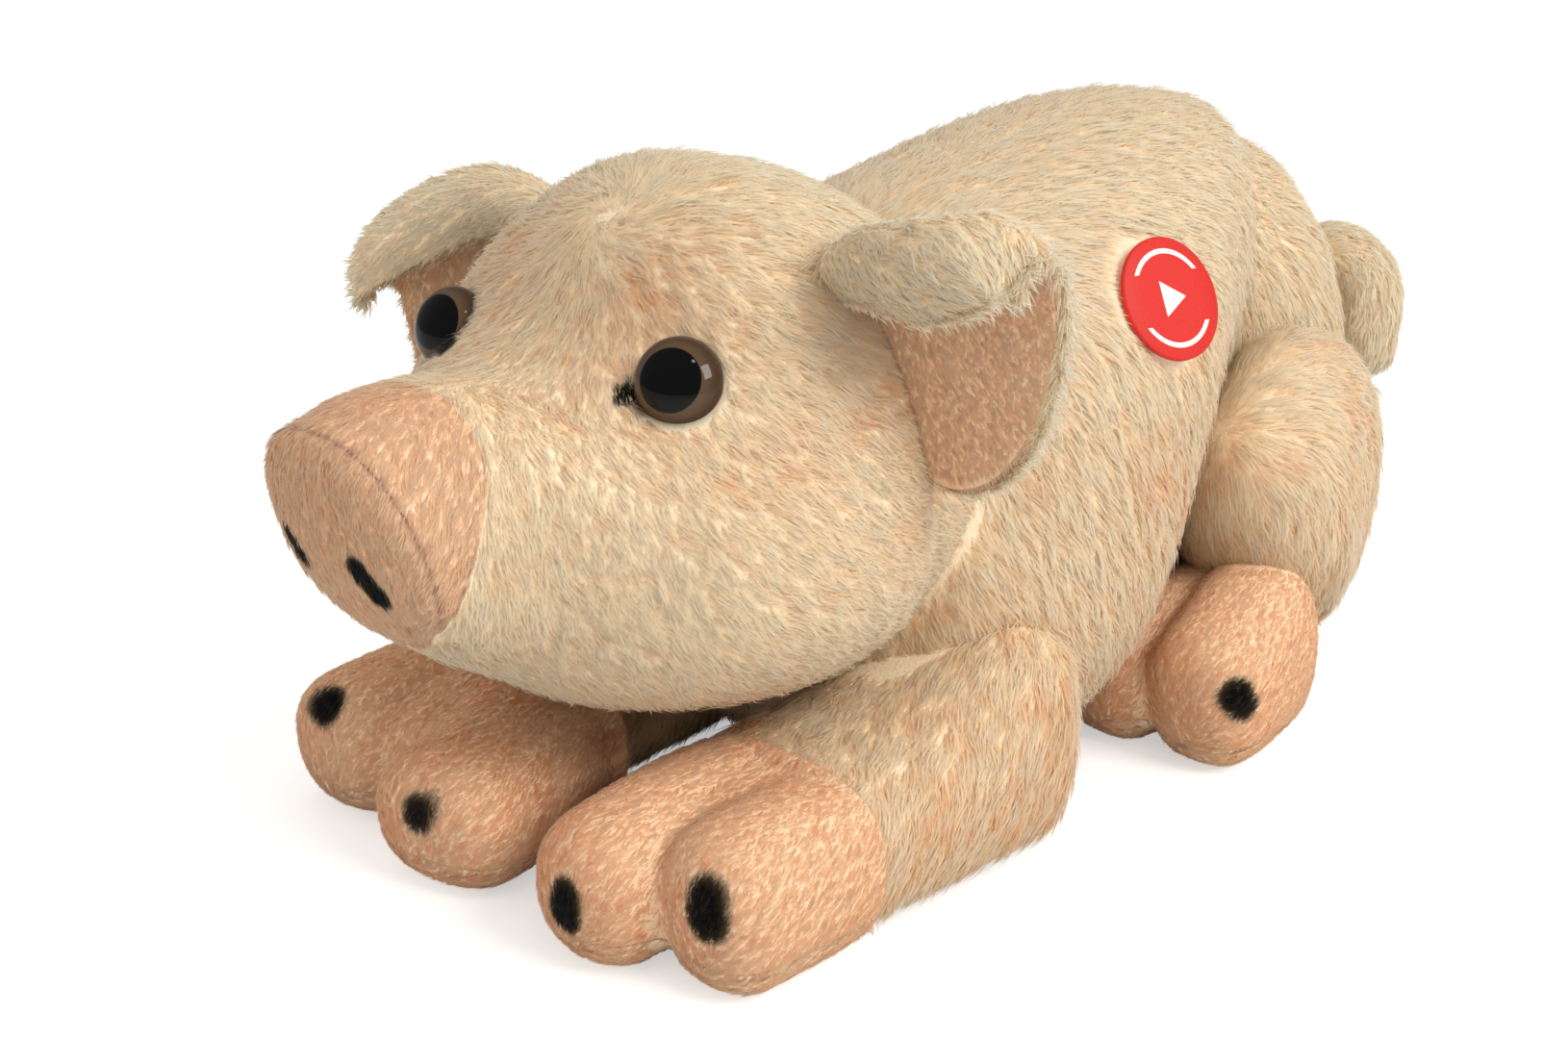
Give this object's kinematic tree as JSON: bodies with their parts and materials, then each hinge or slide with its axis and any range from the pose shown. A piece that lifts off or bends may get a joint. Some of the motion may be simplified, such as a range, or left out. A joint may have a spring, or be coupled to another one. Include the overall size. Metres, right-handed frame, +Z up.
{
  "type": "plush piglet",
  "caption": "Soft plush piglet lying on its belly, with folded ears, cloven feet, a curled tail and a round push-to-play patch on its left flank.",
  "frame": {"origin": "on the flat of the belly, on the plane that splits the piglet left from right, below the chest", "axes": "+Z up, +Y from snout to tail, +X towards the piglet's own left"},
  "size_m": [0.14, 0.2725, 0.1243],
  "materials": {
    "cream_plush": "long soft pile, cream tips over peach roots",
    "pink_velour": "short soft pile",
    "fibre": "loose polyester fibre",
    "red_print": "smooth printed felt",
    "eye_plastic": "polished",
    "white_plastic": "moulded",
    "black_plastic": "moulded",
    "grey_rubber": "moulded",
    "board": "lacquered",
    "steel": "bright"
  },
  "bodies": {
    "torso": {"torso_skin": "cream_plush", "torso_stuffing": "fibre", "case_front": "black_plastic", "case_back": "black_plastic", "case_screw_1": "steel", "case_screw_2": "steel", "case_screw_3": "steel", "circuit_board": "board", "switch_dome": "grey_rubber", "button_cell_1": "steel", "button_cell_2": "steel", "button_cell_3": "steel", "loudspeaker": "black_plastic"},
    "button": {"press_patch": "red_print", "push_button": "white_plastic"},
    "head": {"head_skin": "cream_plush", "snout_band": "pink_velour", "snout_disc": "pink_velour", "head_stuffing": "fibre", "left_eye": "eye_plastic", "right_eye": "eye_plastic", "left_eye_washer": "white_plastic", "right_eye_washer": "white_plastic"},
    "ear_left": {"left_ear": "cream_plush", "left_ear_lining": "pink_velour"},
    "ear_right": {"right_ear": "cream_plush", "right_ear_lining": "pink_velour"},
    "foreleg_left": {"front_left_leg": "cream_plush", "front_left_foot": "pink_velour", "front_left_sole": "cream_plush"},
    "foreleg_right": {"front_right_leg": "cream_plush", "front_right_foot": "pink_velour", "front_right_sole": "cream_plush"},
    "hindleg_left": {"hind_left_leg": "cream_plush", "hind_left_foot": "pink_velour", "hind_left_sole": "cream_plush"},
    "hindleg_right": {"hind_right_leg": "cream_plush", "hind_right_foot": "pink_velour", "hind_right_sole": "cream_plush"},
    "tail_curl": {"tail": "cream_plush"}
  },
  "joints": [
    {"name": "head_nod", "type": "hinge", "parent": "torso", "child": "head", "pos_m": [0, -0.06, 0.072], "axis": [1, 0, 0], "range_deg": [-8, 10], "stiffness_Nm_per_rad": 0.7},
    {"name": "left_ear_flop", "type": "hinge", "parent": "head", "child": "ear_left", "pos_m": [0.049, -0.061, 0.074], "axis": [-0.4429, -0.1384, 0.8858], "range_deg": [-15, 15], "stiffness_Nm_per_rad": 0.05},
    {"name": "right_ear_flop", "type": "hinge", "parent": "head", "child": "ear_right", "pos_m": [-0.049, -0.061, 0.074], "axis": [-0.4429, 0.1384, -0.8858], "range_deg": [-15, 15], "stiffness_Nm_per_rad": 0.05},
    {"name": "front_left_splay", "type": "hinge", "parent": "torso", "child": "foreleg_left", "pos_m": [0.038, -0.03, 0.023], "axis": [0, 0, 1], "range_deg": [-1, 25], "stiffness_Nm_per_rad": 0.3},
    {"name": "front_right_splay", "type": "hinge", "parent": "torso", "child": "foreleg_right", "pos_m": [-0.038, -0.03, 0.023], "axis": [0, 0, -1], "range_deg": [-1, 25], "stiffness_Nm_per_rad": 0.3},
    {"name": "hind_left_splay", "type": "hinge", "parent": "torso", "child": "hindleg_left", "pos_m": [0.038, 0.062, 0.042], "axis": [0, 0, 1], "range_deg": [-1, 18], "stiffness_Nm_per_rad": 0.3},
    {"name": "hind_right_splay", "type": "hinge", "parent": "torso", "child": "hindleg_right", "pos_m": [-0.038, 0.062, 0.042], "axis": [0, 0, -1], "range_deg": [-1, 18], "stiffness_Nm_per_rad": 0.3},
    {"name": "tail_wag", "type": "hinge", "parent": "torso", "child": "tail_curl", "pos_m": [0.01, 0.106, 0.08], "axis": [0, 0, 1], "range_deg": [-15, 15], "stiffness_Nm_per_rad": 0.05},
    {"name": "press_button", "type": "slide", "parent": "torso", "child": "button", "axis": [-0.8925, 0.1574, -0.4226], "range_m": [0, 0.002], "stiffness_N_per_m": 400}
  ]
}
